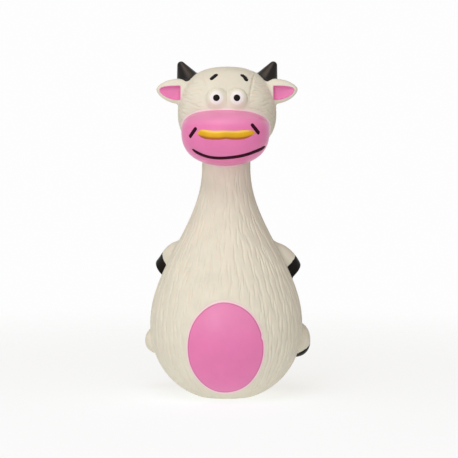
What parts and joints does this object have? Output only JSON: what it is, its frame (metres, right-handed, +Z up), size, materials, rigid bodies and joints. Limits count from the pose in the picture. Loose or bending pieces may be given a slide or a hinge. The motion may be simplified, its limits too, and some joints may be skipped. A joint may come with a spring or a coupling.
{
  "type": "squeaky latex animal dog toy",
  "caption": "Squeaky latex dog toy: a pear-bodied cow that sits upright, hollow and stuffed, with a squeaker snapped into its base.",
  "frame": {"origin": "centre of the flat ring that the toy stands on", "axes": "+Z up, the face looks along -Y, +X is the animal's left"},
  "size_m": [0.0908, 0.0836, 0.18],
  "materials": {
    "latex_cream": "satin latex, moulded with fine hair grooves",
    "latex_pink": "satin latex paint, smooth",
    "latex_black": "semi-gloss black latex paint",
    "ring_yellow": "satin yellow latex paint",
    "eye_white": "satin white latex paint",
    "fibre": "white polyester fibre stuffing",
    "squeaker_plastic": "moulded white polyethylene",
    "reed_film": "thin polyester film"
  },
  "bodies": {
    "toy": {"body_shell": "latex_cream", "belly_patch": "latex_pink", "head_shell": "latex_cream", "muzzle": "latex_pink", "nose_ring": "ring_yellow", "tail": "latex_cream", "tail_tuft": "latex_black", "eyeball_left": "eye_white", "eyeball_right": "eye_white", "pupil_left": "latex_black", "pupil_right": "latex_black", "ear_left": "latex_cream", "ear_right": "latex_cream", "ear_lining_left": "latex_pink", "ear_lining_right": "latex_pink", "horn_left": "latex_black", "horn_right": "latex_black", "arm_left": "latex_cream", "arm_right": "latex_cream", "arm_hoof_left": "latex_black", "arm_hoof_right": "latex_black", "leg_left": "latex_cream", "leg_right": "latex_cream", "leg_hoof_left": "latex_black", "leg_hoof_right": "latex_black", "fibre_filling": "fibre", "squeaker_cup": "squeaker_plastic", "squeaker_cap": "squeaker_plastic", "reed_block": "squeaker_plastic", "reed_clamp": "squeaker_plastic"},
    "reed": {"reed": "reed_film"}
  },
  "joints": [
    {"name": "reed_flex", "type": "hinge", "parent": "toy", "child": "reed", "pos_m": [0, 0, 0.004], "axis": [1, 0, 0], "range_deg": [-8, 1.8], "stiffness_Nm_per_rad": 0.0002}
  ]
}
